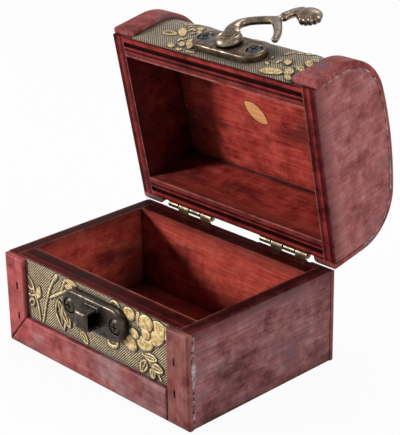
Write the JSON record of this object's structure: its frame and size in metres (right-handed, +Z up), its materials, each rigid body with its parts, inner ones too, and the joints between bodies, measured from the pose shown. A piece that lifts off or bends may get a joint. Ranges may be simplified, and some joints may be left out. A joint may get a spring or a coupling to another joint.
{
  "type": "keepsake box",
  "caption": "Small stained-wood keepsake box with a domed hinged lid, bent bands, brocade panels and a swing-hook latch on the front.",
  "frame": {"origin": "centre of the base's footprint, on the surface that it stands on", "axes": "+Z up, -Y towards the front with the latch, +X to the right seen from the front"},
  "size_m": [0.0936, 0.1008, 0.1123],
  "materials": {
    "stained_board": "stained, satin",
    "stained_strip": "stained, satin",
    "patch_veneer": "pale, unstained",
    "brocade": "woven, gold on brown",
    "latch_bronze": "antique bronze",
    "dark_steel": "dark",
    "hinge_brass": "dulled"
  },
  "bodies": {
    "base": {"base_left_side": "stained_board", "base_right_side": "stained_board", "base_front_board": "stained_board", "base_back_board": "stained_board", "base_bottom_board": "stained_board", "front_left_post": "stained_strip", "front_right_post": "stained_strip", "front_bottom_rail": "stained_strip", "back_left_post": "stained_strip", "back_right_post": "stained_strip", "back_bottom_rail": "stained_strip", "front_frame_brads": "dark_steel", "front_fabric": "brocade", "catch_plate": "latch_bronze", "catch_screws": "dark_steel", "left_hinge_base_leaf": "hinge_brass", "right_hinge_base_leaf": "hinge_brass", "left_hinge_pin": "hinge_brass", "right_hinge_pin": "hinge_brass", "hinge_base_nails": "hinge_brass"},
    "lid": {"lid_left_end": "stained_board", "lid_right_end": "stained_board", "lid_front_board": "stained_board", "lid_back_board": "stained_board", "lid_top_panel": "stained_board", "lid_left_band": "stained_strip", "lid_right_band": "stained_strip", "lid_fabric": "brocade", "lid_veneer_patch": "patch_veneer", "left_hinge_lid_leaf": "hinge_brass", "right_hinge_lid_leaf": "hinge_brass", "hinge_lid_nails": "hinge_brass", "hasp_plate": "latch_bronze", "hasp_screws": "dark_steel", "hook_rivet": "hinge_brass"},
    "hook": {"swing_hook": "latch_bronze"}
  },
  "joints": [
    {"name": "lid_hinge", "type": "hinge", "parent": "base", "child": "lid", "pos_m": [0, 0.0331, 0.0348], "axis": [-1, 0, 0], "range_deg": [-79, 0]},
    {"name": "hook_swing", "type": "hinge", "parent": "lid", "child": "hook", "pos_m": [0.0024, 0.02843, 0.10021], "axis": [0, -0.1908, 0.9816], "range_deg": [-105, 75]}
  ]
}
